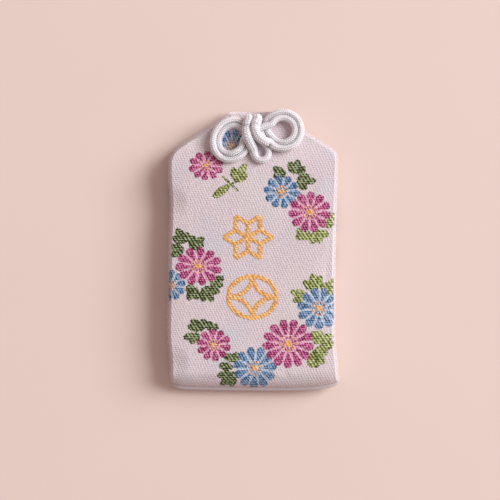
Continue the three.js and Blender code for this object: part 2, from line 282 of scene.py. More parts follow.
def ramp(tree, factor, stops):
    node = addNode(tree, "ValToRGB")
    elements = node.color_ramp.elements
    while len(elements) < len(stops):
        elements.new(0.5)
    for element, (place, colour) in zip(elements, stops):
        element.position = place
        element.color = tone(*colour)
    plug(tree, factor, node.inputs[0])
    return node.outputs["Color"]


def bump(tree, height, distance):
    node = addNode(tree, "Bump")
    node.inputs["Strength"].default_value = 1.0
    node.inputs["Distance"].default_value = distance
    plug(tree, height, node.inputs["Height"])
    return node.outputs["Normal"]


# what all the surfaces share
surface = {"specular": 0.3, "sheenRoughness": 0.4}


def startMaterial(name, roughness, sheen=0.0):
    material = bpy.data.materials.new(name)
    material.use_nodes = True
    shader = material.node_tree.nodes["Principled BSDF"]
    shader.inputs["Roughness"].default_value = roughness
    shader.inputs["Specular IOR Level"].default_value = surface["specular"]
    shader.inputs["Sheen Weight"].default_value = sheen
    shader.inputs["Sheen Roughness"].default_value = surface["sheenRoughness"]
    return material, material.node_tree, shader


# a weave colours a material with its shade and raises it with its height
def applyWeave(tree, shader, weave, stops, relief):
    plug(tree, ramp(tree, weave.outputs["Shade"], stops), shader.inputs["Base Color"])
    plug(tree, bump(tree, weave.outputs["Height"], relief), shader.inputs["Normal"])


# pale satin ground: soft drifts of pink and lilac under the twill
ground = {
    "drifts": [(0.25, (209, 206, 215)), (0.42, (219, 203, 210)), (0.55, (223, 204, 209)),
               (0.68, (222, 208, 211)), (0.80, (219, 206, 215))],
    "driftScale": 80, "driftDetail": 1.5, "pitch": 0.0007, "shadeLow": 0.82, "shadeHigh": 1.08,
    "relief": 0.00006, "roughness": 0.58, "sheen": 0.15,
}


def makeGround():
    material, tree, shader = startMaterial("brocadeGround", ground["roughness"], ground["sheen"])
    drift = ramp(tree, noiseAt(tree, ground["driftScale"], ground["driftDetail"]), ground["drifts"])
    weave = useGroup(tree, twillWeave, Pitch=ground["pitch"])
    span = ground["shadeHigh"] - ground["shadeLow"]
    level = calc(tree, "MULTIPLY_ADD", weave.outputs["Shade"], span, ground["shadeLow"])
    mix = addNode(tree, "VectorMath", operation="SCALE")
    plug(tree, drift, mix.inputs[0])
    plug(tree, level, mix.inputs["Scale"])
    plug(tree, mix.outputs[0], shader.inputs["Base Color"])
    plug(tree, bump(tree, weave.outputs["Height"], ground["relief"]), shader.inputs["Normal"])
    return material


# woven-in coloured threads: darkest, middle and lightest of each; the darkest also carries the painted shade
# between rows
threads = {
    "pinkThread": [(92, 8, 52), (176, 54, 114), (232, 150, 190)],
    "blueThread": [(38, 66, 106), (92, 124, 164), (168, 190, 218)],
    "leafThread": [(18, 26, 0), (72, 84, 30), (178, 186, 146)],
    "limeThread": [(54, 60, 8), (138, 144, 62), (214, 218, 170)],
    "goldThread": [(206, 138, 72), (240, 180, 106), (252, 216, 160)],
    "peachThread": [(196, 124, 96), (240, 178, 140), (250, 214, 186)],
    "palePinkThread": [(204, 118, 158), (226, 166, 192), (238, 198, 212)],
    "paleBlueThread": [(132, 154, 186), (182, 194, 212), (212, 218, 228)],
}
longFloats = ("leafThread", "limeThread", "goldThread")
threadLook = {
    "row": 0.0006, "float": 0.00072, "longFloat": 0.00095, "relief": 0.00003,
    "roughness": 0.5, "sheen": 0.1, "stops": (0.18, 0.5, 0.85),
}


def makeThread(name, shades):
    material, tree, shader = startMaterial(name, threadLook["roughness"], threadLook["sheen"])
    length = threadLook["longFloat" if name in longFloats else "float"]
    rows = useGroup(tree, threadFloats, Row=threadLook["row"], Float=length)
    applyWeave(tree, shader, rows, list(zip(threadLook["stops"], shades)), threadLook["relief"])
    return material


# plain cloths, thread and papers: the weave of each, the size of its ribs or fibres, and its colours
plainLooks = {
    "liningCloth": {
        "weave": twillWeave, "size": {"Pitch": 0.0006}, "relief": 0.00005, "roughness": 0.8, "sheen": 0.1,
        "stops": [(0.1, (222, 214, 198)), (0.9, (244, 239, 227))],
    },
    "shadedBrocadeEdge": {  # the ground's cloth where it is drawn tight, in darker colours that paint shade on the lip
        "weave": twillWeave, "size": {"Pitch": 0.0005}, "relief": 0.00001, "roughness": 0.62, "sheen": 0.1,
        "stops": [(0.0, (198, 182, 186)), (1.0, (212, 197, 201))],
    },
    "sewingThread": {
        "weave": twillWeave, "size": {"Pitch": 0.0003}, "relief": 0.00002, "roughness": 0.6, "sheen": 0.2,
        "stops": [(0.0, (206, 196, 202)), (0.75, (232, 225, 229))],
    },
    "waddingFluff": {
        "weave": fibreSpeck, "size": {"Scale": 700}, "relief": 0.0003, "roughness": 1.0, "sheen": 0.0,
        "stops": [(0.35, (232, 230, 226)), (0.65, (250, 250, 248))],
    },
    "cardBoard": {
        "weave": fibreSpeck, "size": {"Scale": 1600}, "relief": 0.00004, "roughness": 0.85, "sheen": 0.0,
        "stops": [(0.35, (186, 172, 144)), (0.65, (210, 199, 174))],
    },
    "foldedPaper": {
        "weave": fibreSpeck, "size": {"Scale": 2200}, "relief": 0.00002, "roughness": 0.75, "sheen": 0.0,
        "stops": [(0.35, (236, 231, 218)), (0.65, (250, 247, 238))],
    },
}


def makePlain(name, look):
    material, tree, shader = startMaterial(name, look["roughness"], look["sheen"])
    weave = useGroup(tree, look["weave"], **look["size"])
    applyWeave(tree, shader, weave, look["stops"], look["relief"])
    return material


# straight grained pale wood of the tablet
wood = {
    "ringWay": (1.0, 0.04, 0.5), "ring": 0.0016, "driftScale": 120, "drift": 2.5, "relief": 0.00003,
    "roughness": 0.55, "stops": [(0.0, (198, 160, 108)), (0.6, (222, 190, 142)), (1.0, (232, 206, 162))],
}


def makeTabletWood():
    material, tree, shader = startMaterial("tabletWood", wood["roughness"])
    xyz = placeXyz(tree)
    drift = noiseAt(tree, wood["driftScale"])
    rings = across(tree, xyz, wood["ringWay"], wood["ring"])
    grain = wave(tree, calc(tree, "MULTIPLY_ADD", drift, wood["drift"], rings))
    plug(tree, ramp(tree, grain, wood["stops"]), shader.inputs["Base Color"])
    plug(tree, bump(tree, grain, wood["relief"]), shader.inputs["Normal"])
    return material


# white braid: painted shade darkens the colour in the grooves between the stitches
yarn = {
    "roughness": 0.75, "sheen": 0.05, "scatter": 0.0018, "scatterTint": (1.0, 0.95, 0.95),
    "speck": 0.35, "speckScale": 2400, "fuzz": 0.00003, "fuzzScale": 5200,
    "stops": [(0.05, (240, 234, 237)), (0.4, (230, 223, 227)), (0.85, (184, 173, 181))],
}


def makeCordYarn():
    material, tree, shader = startMaterial("cordYarn", yarn["roughness"], yarn["sheen"])
    shader.inputs["Subsurface Weight"].default_value = 1.0
    shader.inputs["Subsurface Radius"].default_value = yarn["scatterTint"]
    shader.inputs["Subsurface Scale"].default_value = yarn["scatter"]
    grooveShade = addNode(tree, "Attribute", attribute_name="grooveShade")
    speck = speckAt(tree, yarn["speckScale"])
    # painted shade: the deeper the groove, the darker the colour, with random specks on top
    depth = calc(tree, "MULTIPLY_ADD", speck, yarn["speck"], grooveShade.outputs["Fac"])
    plug(tree, ramp(tree, depth, yarn["stops"]), shader.inputs["Base Color"])
    plug(tree, bump(tree, noiseAt(tree, yarn["fuzzScale"]), yarn["fuzz"]), shader.inputs["Normal"])
    return material


groundCloth = makeGround()
threadMaterials = {name: makeThread(name, shades) for name, shades in threads.items()}
plainMaterials = {name: makePlain(name, look) for name, look in plainLooks.items()}
tabletWood = makeTabletWood()
cordYarn = makeCordYarn()
print("stage: materials made")

# Camera straight above, as the photograph was taken
view = {"middle": (-0.90, 0.27), "width": 132.6, "distance": 600, "aimHeight": 2.7, "sensor": 36}


def makeCamera():
    lens = bpy.data.cameras.new("camera")
    lens.sensor_width = view["sensor"]
    lens.lens = view["sensor"] * view["distance"] / view["width"]
    lens.clip_start = 0.01
    camera = bpy.data.objects.new("camera", lens)
    camera.location = Vector((*view["middle"], view["aimHeight"] + view["distance"])) * mm
    bpy.context.scene.collection.objects.link(camera)
    bpy.context.scene.camera = camera


# Bow: the route counts y from the top edge and level in strands above the sloping front.
# The strands press together, so that a level is less than the braid's width.
bow = {
    "topEdge": 37, "seat": 4.3, "tilt": 0.23, "seatDrop": 1, "seatGap": 0.3, "coreRadius": 0.625,
    "strandPitch": 1.25, "seam": 2.7, "leftX": -1.25, "rightX": 1.05,
    "hinge": (35.35, 8.025), "hingeReach": 0.5,
}
# nearly two turns each; angles are in degrees along the cord, lifts in strands
leftLoop = {
    "x": -5.75, "y": -7.65, "lean": 62, "end": 630, "turnIn": 285, "turnOver": 75,
    "outerLong": 5.45, "innerLong": 3.9, "outerWide": 4.7, "innerWide": 3.2,
    "farLift": 0.55, "farTo": 130, "farOver": 60, "leaveLift": 0.6, "leaveAt": 530, "leaveOver": 70,
}
rightLoop = {
    "x": 7.7, "y": -5.15, "start": 150, "end": 645, "turnOut": 290, "turnOver": 75,
    "outer": 4.85, "inner": 3.3, "enterLift": 1.06, "enterOver": 75, "lift": 0.66,
    "dropAt": 210, "dropOver": 90, "riseAt": 345, "riseOver": 60,
}
loopStep = 15
routeIn = [
    (-1.3, -2.75, 1.3), (-1.5, -3.4, 1.5), (-1.75, -4.4, 1.7), (-1.8, -5.6, 2), (-1.65, -6.7, 2.15),
    (-1.25, -7.8, 1.8), (-0.7, -8.9, 1.2), (-0.2, -9.9, 0.5), (0.1, -11.1, 0), (0.55, -12.2, 0),
    (1.3, -12.9, 0), (2.25, -13.1, 0), (3.2, -12.7, 0), (3.85, -11.8, 0), (3.9, -10.6, 0), (3.3, -9.35, 0),
    (2.65, -8.05, 0), (2.3, -6.5, 0), (1.7, -5.15, 0), (0.8, -4.05, 0), (-0.4, -3.2, 0), (-1.75, -2.75, 0),
]
routeAcross = [
    (-2.65, -7.8, 0.85), (-1.5, -6.6, 1.06), (-0.2, -5.65, 1.06), (1.5, -4.8, 1.06), (3.2, -4.1, 1.06),
]
routeOut = [
    (3.3, -8.35, 1.2), (2.3, -7.75, 1.65), (1.25, -6.8, 2), (0.6, -5.7, 2.2), (0.35, -4.6, 2.2),
    (0.45, -3.7, 1.9), (0.75, -3.1, 1.6), (1, -2.7, 1.3),
]
# each end of the cord, up out of the mouth and over: y from the top edge, height from the seam
tailRoute = [
    (-8.4, 0), (-6, 0), (-3.7, 0), (-2.8, 0.18), (-2.35, 0.7), (-2.2, 1.5), (-2.15, 2.3), (-2.1, 3),
    (-2.05, 3.5), (-2.1, 3.95), (-2.35, 4.3),
]
tailInside = 7  # points of the tail that stay with the pouch when the bow is lifted


def bowPoint(x, y, level):
    seat = bow["seat"] - bow["tilt"] * (y + bow["seatDrop"])
    return (x, bow["topEdge"] + y, seat + bow["seatGap"] + bow["coreRadius"] + level * bow["strandPitch"])


def leftLoopPoints():
    points = []
    lean = math.radians(leftLoop["lean"])
    for turn in range(0, leftLoop["end"] + 1, loopStep):
        angle = math.radians(turn)
        inner = ease((turn - leftLoop["turnIn"]) / leftLoop["turnOver"])
        u = between(leftLoop["outerLong"], leftLoop["innerLong"], inner) * math.cos(angle)
        v = between(leftLoop["outerWide"], leftLoop["innerWide"], inner) * math.sin(angle)
        if turn < leftLoop["turnIn"]:  # the outer turn lifts on its far side
            fallen = ease((turn - leftLoop["farTo"]) / leftLoop["farOver"])
            level = leftLoop["farLift"] * ease(turn / leftLoop["farOver"]) * (1 - fallen)
        else:
            level = leftLoop["leaveLift"] * ease((turn - leftLoop["leaveAt"]) / leftLoop["leaveOver"])
        x = leftLoop["x"] + u * math.cos(lean) - v * math.sin(lean)
        y = leftLoop["y"] + u * math.sin(lean) + v * math.cos(lean)
        points.append((x, y, level))
    return points


def rightLoopPoints():
    points = []
    lift = rightLoop["lift"]
    for turn in range(0, rightLoop["end"] + 1, loopStep):
        outer = ease((turn - rightLoop["turnOut"]) / rightLoop["turnOver"])
        radius = between(rightLoop["inner"], rightLoop["outer"], outer)
        angle = math.radians(rightLoop["start"] - turn)
        if turn < rightLoop["dropAt"]:  # down from the strand across
            level = between(rightLoop["enterLift"], lift, ease(turn / rightLoop["enterOver"]))
        elif turn < rightLoop["riseAt"]:  # down to the cloth
            level = lift * (1 - ease((turn - rightLoop["dropAt"]) / rightLoop["dropOver"]))
        else:  # up again for the outer turn
            level = lift * ease((turn - rightLoop["riseAt"]) / rightLoop["riseOver"])
        x = rightLoop["x"] + radius * math.cos(angle)
        y = rightLoop["y"] + radius * math.sin(angle)
        points.append((x, y, level))
    return points


def tailPoints(x):
    return [(x, bow["topEdge"] + y, bow["seam"] + z) for y, z in tailRoute]


# the whole cord: out of the mouth, round the bow and in again
def cordLine():
    middle = routeIn + leftLoopPoints() + routeAcross + rightLoopPoints() + routeOut
    left, right = tailPoints(bow["leftX"]), tailPoints(bow["rightX"])
    return curveThrough(left + [bowPoint(*p) for p in middle] + right[::-1])


# round braid: eight columns of slanted stitches, leaning left and right in turn
braid = {
    "diameter": 1.85, "columns": 8, "stitch": 0.54, "slant": 0.5, "relief": 0.16,
    "columnDip": 0.8, "stitchDip": 0.95, "sides": 48, "step": 0.07,
    "knotFullness": 0.4, "knotReach": 6, "knotFade": 4, "endRound": 0.3, "bendPart": 2.4,
}


# rings of points round a path, one row of radii for each ring
def sweep(path, radii):
    forward = np.gradient(path, axis=0)
    forward /= np.linalg.norm(forward, axis=1, keepdims=True)
    side = np.cross(forward[0], (0, 0, 1))
    angle = np.arange(radii.shape[1]) / radii.shape[1] * 2 * math.pi
    rings = []
    for place, ahead, radius in zip(path, forward, radii):
        side = side - ahead * side.dot(ahead)
        side = side / np.linalg.norm(side)
        up = np.cross(side, ahead)
        sideways, upwards = (radius * np.cos(angle))[:, None], (radius * np.sin(angle))[:, None]
        rings.append(place + sideways * side + upwards * up)
    return np.array(rings)


# closed tube; its two ends have points of their own, so that they stay flat
def tube(name, rings, material):
    count, sides = rings.shape[:2]
    faces = gridFaces(count, sides, closed=True, flip=True)
    first, last = count * sides, (count + 1) * sides
    faces.append(tuple(first + j for j in range(sides)))
    faces.append(tuple(last + sides - 1 - j for j in range(sides)))
    points = np.concatenate([rings, rings[:1], rings[-1:]]).reshape(-1, 3)
    return buildMesh(name, points, faces, material)


# height of the stitches round and along the cord, 1 on a stitch and nearly 0 between two
def braidBeads(along):
    turns = np.arange(braid["sides"]) / braid["sides"] * braid["columns"]
    column, inColumn = np.floor(turns), turns % 1
    lean = np.where(column % 2 == 0, 1, -1) * braid["slant"]
    stitch = (along / braid["stitch"] + lean * (inColumn - 0.5) + 0.5 * (column % 2)) % 1
    crown = 1 - braid["columnDip"] * (2 * inColumn - 1) ** 4
    return crown * (1 - braid["stitchDip"] * (2 * stitch - 1) ** 2)


# the braid along a line: its path, its rings of points and the height of its stitches
def braidAlong(line, bendLength):
    length = lineLength(line)
    count = int(length / braid["step"])
    path = sampleLine(line, np.linspace(0, 1, count))
    along = np.linspace(0, length, count)[:, None]
    bead = braidBeads(along)
    fromEnd = np.minimum(along, length - along)
    pastKnot = ease((fromEnd - bendLength - braid["knotReach"]) / braid["knotFade"])
    fuller = 1 + braid["knotFullness"] * (1 - pastKnot)
    plain = braid["diameter"] / 2 - braid["relief"] * (1 - bead)
    return path, sweep(path, plain * fuller * roundOver(fromEnd / braid["endRound"])), bead


# a stretch of the braid, with the depth of its grooves, which paints shade into its colour
def cutCord(name, rings, bead):
    cord = tube(name, rings, cordYarn)
    # groove depth for the painted shade in the cord's colour
    depth = 1 - np.concatenate([bead, bead[:1], bead[-1:]])
    grooveShade = cord.data.attributes.new("grooveShade", "FLOAT", "POINT")
    grooveShade.data.foreach_set("value", depth.ravel().astype(np.float32))
    return cord


def layBow(cord):
    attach(cord, "bow")
    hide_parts("tie_cord")


# the bends are baked where they lie, and the ends stay in the pouch
def layEnds(cords):
    for side in ("left", "right"):
        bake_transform(cords["cord_bend_" + side])
        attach(cords["cord_end_" + side], "pouch")
        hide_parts("cord_tail_" + side)


# one braid, parted where it starts to bend and where the bow begins
def makeCord():
    tail = np.array(tailPoints(0))
    bendLength = lineLength(tail) + braid["bendPart"]
    path, rings, bead = braidAlong(cordLine(), bendLength)
    inMouth = int(lineLength(tail[:tailInside]) / braid["step"])
    inBow = int(bendLength / braid["step"])
    final = len(path) - 1
    cuts = {
        "cord_end_left": (0, inMouth),
        "cord_bend_left": (inMouth, inBow),
        "bow_cord": (inBow, final - inBow),
        "cord_bend_right": (final - inBow, final - inMouth),
        "cord_end_right": (final - inMouth, final),
    }
    cords = {}
    for name, (first, last) in cuts.items():
        cords[name] = cutCord(name, rings[first:last + 1], bead[first:last + 1])
    layBow(cords["bow_cord"])
    layEnds(cords)


makeCamera()
makeCord()

# Pouch: outline read counter-clockwise from the left end of the top edge
pouch = {
    "outline": [
        (-6.0, 36.55), (-7.7, 35.85), (-10.0, 34.2), (-14.2, 31.5), (-18.3, 29.0), (-21.2, 26.7),
        (-22.4, 24.6), (-22.65, 20), (-22.2, 13.0), (-22.45, 3), (-22.7, -13), (-22.8, -23), (-22.25, -29.5),
        (-22.2, -33.2), (-21.6, -35.3), (-20.2, -36.3), (-11.5, -36.85), (0, -37.0), (11.5, -37.0),
        (18, -36.6), (21.4, -35.9), (22.6, -35.0), (22.6, -32.5), (21.8, -23.5), (21.75, -8), (21.9, 3),
        (22.15, 13), (22.4, 20), (22.5, 24.6), (21.9, 26.3), (18.2, 29.2), (13.9, 31.7), (8.4, 35.6),
        (7.0, 36.35), (5.6, 36.6), (-0.4, 36.6),
    ],
    "topLeft": (-6.6, 36.4), "leftShoulder": (-21.9, 25.8), "bottomLeft": (-21.2, -35.8),
    "bottomRight": (22.4, -35.4), "rightShoulder": (22.3, 25.6), "topRight": (6.4, 36.5),
    "frontEdge": {  # width of the padding's roll-over from each corner on
        "topLeft": 0.7, "leftShoulder": 0.9, "bottomLeft": 4.2, "bottomRight": 0.6, "rightShoulder": 0.55,
        "topRight": 4,
    },
    "halfWidth": 22.5, "halfHeight": bow["topEdge"], "seam": bow["seam"], "seamRise": 0.3,
    "frontRise": 4.05, "dome": 0.1, "domeReach": 18, "backEdge": 5, "backFlat": 0.1,
    "neckLength": 16, "neckCrown": 0.42,
    "mouthX": -0.65, "mouthHalf": 7.15, "frontLift": 1.0, "liftReach": 9, "backDrop": 1.9, "dropReach": 4,
    "topFrom": 36.2, "dipX": -0.1, "dip": 1.9, "dipHalf": 6,
    "lipRoll": 0.35, "hemTurns": (35, 70, 105, 140, 175), "hemDepths": (1.5, 4, 8),
    "dents": [  # x, y, depth and reach
        (-22, 12.7, 0.55, 5), (-21.6, -29.5, 0.6, 5), (21.5, -8, 0.35, 8), (-14, 28.5, 0.3, 4),
        (12.5, 29.8, 0.25, 4),
    ],
    "ripple": 0.13, "rippleSize": 8.5, "rippleSlice": 3.7,
    "columns": 110, "rows": 180, "loopPoints": 720, "edgePoints": 240,
}
# the back cloth's lip on the front: its width facing left, and what each other side adds
lipShape = {
    "least": 0.3, "bottom": 0.7, "right": 0.15, "top": 0.3, "rise": 0.5, "endPoints": 4,
    "turns": (0, 15, 30, 45, 60, 75, 90, 110, 130),
}


def closedOutline():
    curve = curveThrough(pouch["outline"], closed=True)
    shares = np.linspace(0, 1, pouch["loopPoints"], endpoint=False)
    return sampleLine(np.vstack([curve, curve[0]]), shares)


def outwards(loop):
    along = np.roll(loop, -1, axis=0) - np.roll(loop, 1, axis=0)
    normal = np.stack([along[:, 1], -along[:, 0]], axis=1)
    return normal / np.linalg.norm(normal, axis=1, keepdims=True)


# how far the back cloth comes round onto the front: most along the bottom, least on the left
def lipWidth(normal):
    nx, ny = normal[:, 0], normal[:, 1]
    width = lipShape["least"] + lipShape["bottom"] * np.maximum(0, -ny) ** 2
    return width + lipShape["right"] * np.maximum(0, nx) ** 2 + lipShape["top"] * np.maximum(0, ny) ** 2


backLoop = closedOutline()
loopNormals = outwards(backLoop)
loopLip = lipWidth(loopNormals)
nearTop = backLoop[:, 1] > pouch["topFrom"]
frontLoop = backLoop - loopNormals * loopLip[:, None]
frontLoop[:, 1] -= nearTop * pouch["dip"] * bell((backLoop[:, 0] - pouch["dipX"]) / pouch["dipHalf"])


def loopIndex(corner):
    return int(np.argmin(np.linalg.norm(backLoop - np.array(pouch[corner]), axis=1)))


def loopPart(loop, start, end):
    first, last = loopIndex(start), loopIndex(end)
    if last < first:
        last += len(loop)
    return np.take(loop, range(first, last + 1), axis=0, mode="wrap")


# six stretches of edge, for the roll-over of the padding
def edgeStretches(loop):
    ends = ["topLeft", "leftShoulder", "bottomLeft", "bottomRight", "rightShoulder", "topRight", "topLeft"]
    return {start: loopPart(loop, start, end) for start, end in zip(ends, ends[1:])}


def distanceTo(line, x, y):
    line = sampleLine(line, np.linspace(0, 1, pouch["edgePoints"]))
    a, step = line[:-1], np.diff(line, axis=0)
    px, py = x.reshape(-1, 1) - a[:, 0], y.reshape(-1, 1) - a[:, 1]
    t = np.clip((px * step[:, 0] + py * step[:, 1]) / (step ** 2).sum(axis=1), 0, 1)
    far = np.hypot(px - t * step[:, 0], py - t * step[:, 1])
    return far.min(axis=1).reshape(x.shape)


# grid of points that fills a loop, at shares of its width and height
def fillLoop(loop, us, vs):
    left = sampleLine(loopPart(loop, "topLeft", "bottomLeft")[::-1], vs)[:, None]
    right = sampleLine(loopPart(loop, "bottomRight", "topRight"), vs)[:, None]
    bottom = sampleLine(loopPart(loop, "bottomLeft", "bottomRight"), us)[None]
    top = sampleLine(loopPart(loop, "topRight", "topLeft")[::-1], us)[None]
    u, v = us[None, :, None], vs[:, None, None]
    sides = (1 - u) * left + u * right + (1 - v) * bottom + v * top
    lowCorners = (1 - u) * bottom[:, :1] + u * bottom[:, -1:]
    highCorners = (1 - u) * top[:, :1] + u * top[:, -1:]
    grid = sides - ((1 - v) * lowCorners + v * highCorners)
    return grid[..., 0], grid[..., 1]


frontStretches = edgeStretches(frontLoop)
backStretches = edgeStretches(backLoop)


def ripples(x, y):
    size, depth = pouch["rippleSize"], pouch["rippleSlice"]
    spots = zip(x.ravel() / size, y.ravel() / size)
    heights = [noise.noise(Vector((px, py, depth))) for px, py in spots]
    return np.array(heights).reshape(x.shape) * pouch["ripple"]


def frontHeight(x, y):
    rolled, domed = 1, 1
    for start, line in frontStretches.items():
        away = distanceTo(line, x, y)
        rolled = rolled * roundOver(away / pouch["frontEdge"][start])
        domed = domed * ease(away / pouch["domeReach"])
    fromTop = distanceTo(frontStretches["topRight"], x, y)
    crown = between(pouch["neckCrown"], 1, ease((pouch["halfHeight"] - y) / pouch["neckLength"]))
    mouth = pouch["frontLift"] * bell((x - pouch["mouthX"]) / pouch["mouthHalf"])
    mouth = mouth * (1 - ease(fromTop / pouch["liftReach"]))
    padding = crown * (pouch["frontRise"] * rolled + pouch["dome"] * domed)
    height = pouch["seam"] + pouch["seamRise"] + mouth + padding
    for dentX, dentY, depth, reach in pouch["dents"]:
        height = height - depth * bell(np.hypot(x - dentX, y - dentY) / reach) * rolled
    return height + ripples(x, y) * rolled


def backHeight(x, y):
    rolled = 1
    for line in backStretches.values():
        rolled = rolled * roundOver(distanceTo(line, x, y) / pouch["backEdge"])
    fromTop = distanceTo(backStretches["topRight"], x, y)
    drop = pouch["backDrop"] * bell((x - pouch["mouthX"]) / pouch["mouthHalf"])
    drop = drop * (1 - ease(fromTop / pouch["dropReach"]))
    return pouch["backFlat"] + (pouch["seam"] - pouch["backFlat"] - drop) * (1 - rolled)


# rows that roll the mouth's edge inwards and run down inside the pouch
def mouthHem(x, y, z, turn, insideHeight):
    roll = pouch["lipRoll"]
    rows = []
    for angle in np.radians(pouch["hemTurns"]):
        over, down = roll * math.sin(angle), turn * roll * (1 - math.cos(angle))
        rows.append(np.stack([x, y + over, z - down], axis=1))
    for depth in pouch["hemDepths"]:
        inside = insideHeight(x, y - depth) - turn * 2 * roll
        rows.append(np.stack([x, y - depth, inside], axis=1))
    return rows


# faces that close the two ends of the rolled edge
def hemEnds():
    columns = pouch["columns"]
    rolled = range(pouch["rows"] - 1, pouch["rows"] + len(pouch["hemTurns"]))
    return [tuple(row * columns + column for row in rolled) for column in (0, columns - 1)]


def gradedShares(count):
    return (1 - np.cos(np.linspace(0, math.pi, count))) / 2


# Cloth simulation: a large copy of the sewn front is blown up a little, and its spare width puckers
swell = {
    "columns": 40, "rows": 64, "scale": 20, "pressure": 4, "spare": -0.025, "frames": 20,
    "cap": 0.16, "fade": 5,
}


def swellHeights(us, vs):
    evenUs, evenVs = np.linspace(0, 1, swell["columns"]), np.linspace(0, 1, swell["rows"])
    x, y = fillLoop(frontLoop, evenUs, evenVs)
    top = np.stack([x, y, frontHeight(x, y)], axis=2).reshape(-1, 3)
    bottom = np.full(x.shape, pouch["seam"] + pouch["seamRise"])
    under = np.stack([x, y, bottom], axis=2).reshape(-1, 3)
    count = len(top)
    faces = gridFaces(*x.shape)
    faces += [tuple(count + k for k in face[::-1]) for face in faces]
    panel = buildMesh("swelling", np.vstack([top, under]) * swell["scale"], faces, groundCloth)
    inner = np.zeros(x.shape, bool)
    inner[1:-1, 1:-1] = True
    pinned = [int(k) for k in np.flatnonzero(~inner.ravel())] + list(range(count, 2 * count))
    panel.vertex_groups.new(name="pinned").add(pinned, 1.0, "REPLACE")
    cloth = panel.modifiers.new("Cloth", "CLOTH")
    cloth.settings.vertex_group_mass = "pinned"
    cloth.settings.use_pressure = True
    cloth.settings.uniform_pressure_force = swell["pressure"]
    cloth.settings.shrink_min = swell["spare"]
    cloth.settings.effector_weights.gravity = 0
    cloth.collision_settings.use_collision = False
    scene = bpy.context.scene
    for number in range(1, swell["frames"] + 1):
        scene.frame_set(number)
    blown = panel.evaluated_get(bpy.context.evaluated_depsgraph_get()).data
    heights = np.empty(len(blown.vertices) * 3)
    blown.vertices.foreach_get("co", heights)
    moved = heights.reshape(-1, 3)[:count, 2] / mm / swell["scale"] - top[:, 2]
    bpy.data.objects.remove(panel)
    scene.frame_set(1)
    moved = np.clip(moved, -swell["cap"], swell["cap"]).reshape(x.shape)
    for line in frontStretches.values():  # the seam holds the edge still
        moved = moved * ease(distanceTo(line, x, y) / swell["fade"])
    print(f"stage: front blown up, moved {moved.min():.2f} to {moved.max():.2f} mm")
    alongRows = np.array([np.interp(us, evenUs, row) for row in moved])
    return np.array([np.interp(vs, evenVs, column) for column in alongRows.T]).T


# points and faces of a panel with a rolled mouth, which turns down on the front and up on the back
def hemmedPanel(x, y, z, turn, insideHeight):
    rows = [np.stack(row, axis=1) for row in zip(x, y, z)]
    rows += mouthHem(x[-1], y[-1], z[-1], turn, insideHeight)
    faces = gridFaces(len(rows), pouch["columns"], flip=turn < 0)
    return np.vstack(rows), faces + hemEnds()


def makeFront():
    us, vs = gradedShares(pouch["columns"]), gradedShares(pouch["rows"])
    x, y = fillLoop(frontLoop, us, vs)
    z = frontHeight(x, y)
    z = z + swellHeights(us, vs)
    points, faces = hemmedPanel(x, y, z, 1, frontHeight)
    front = buildMesh("pouch_front", points, faces, groundCloth)
    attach(front, "pouch")
    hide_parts("front_panel")
    return front


# the back cloth and the lip that it makes round the front's seam
def makeBack():
    us, vs = gradedShares(pouch["columns"]), gradedShares(pouch["rows"])
    x, y = fillLoop(backLoop, us, vs)
    points, faces = hemmedPanel(x, y, backHeight(x, y), -1, backHeight)
    edge = loopPart(backLoop, "topLeft", "topRight")
    normal = loopPart(loopNormals, "topLeft", "topRight")
    toEnd = np.minimum(np.arange(len(edge)), np.arange(len(edge))[::-1])
    closing = roundOver(toEnd / lipShape["endPoints"])[:, None]  # the lip ends at the mouth
    width = lipWidth(normal)[:, None] * closing
    lip = []
    for angle in np.radians(lipShape["turns"]):
        level = pouch["seam"] + lipShape["rise"] * math.sin(angle) * closing
        lip.append(np.hstack([edge - normal * width * (1 - math.cos(angle)), level]))
    first = len(points)
    lipFaces = gridFaces(len(lip), len(edge))
    faces += [tuple(first + i for i in face) for face in lipFaces]
    back = buildMesh("pouch_back", np.vstack([points, *lip]), faces, groundCloth)
    # the lip wears a darker copy of the ground cloth: painted shade
    back.data.materials.append(plainMaterials["shadedBrocadeEdge"])
    for polygon in back.data.polygons[-len(lipFaces):]:
        polygon.material_index = 1
    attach(back, "pouch")
    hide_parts("back_panel")
    return back


front = makeFront()
back = makeBack()
print("stage: pouch sewn")

# Woven pattern: every shape is filled with rows of thread floats, which lie on the cloth
pattern = {
    "row": 0.3, "sunk": 0.42, "warp": 0.26, "step": 0.5, "lift": 0.12, "low": 0.3, "fold": 0.45,
    "petalFrom": 0.37, "petalCover": 0.8, "innerFrom": 0.16, "innerTo": 0.34, "innerCover": 0.6,
    "ringAt": 0.3, "ringWidth": 0.5, "dashes": 8, "dashTurn": 27, "eye": 0.15, "bed": 0.84,
    "leafWidth": 2.15, "stemWidth": 0.5, "discPoints": 40, "arcPoints": 13, "strokePoints": 9,
}
# a petal widens from its root and ends bluntly; a leaf's lobe is fullest just past its middle
petalShape = {"root": 0.6, "widenFrom": 0.1, "widenOver": 0.6, "tip": 1.01, "blunt": 0.4, "points": 12}
lobeShape = {"from": 0.08, "over": 0.9, "skew": 1.25, "fullness": 0.55, "points": 12}
# how high each thread lies on the cloth, in lifts; a flower's bed is a share of its petals
stacks = {
    "pink": 1.3, "blue": 1.15, "bed": 0.4, "darkLeaves": 0.9, "limeLeaves": 1, "rings": 1.5, "gold": 1.6,
}
# a float from edge to edge of its row: places across, and how near the crest each is
floatSection = {"across": (-0.5, -0.2, 0.2, 0.5), "crest": (0.1, 1, 1, 0.1), "endCrest": 0.4}
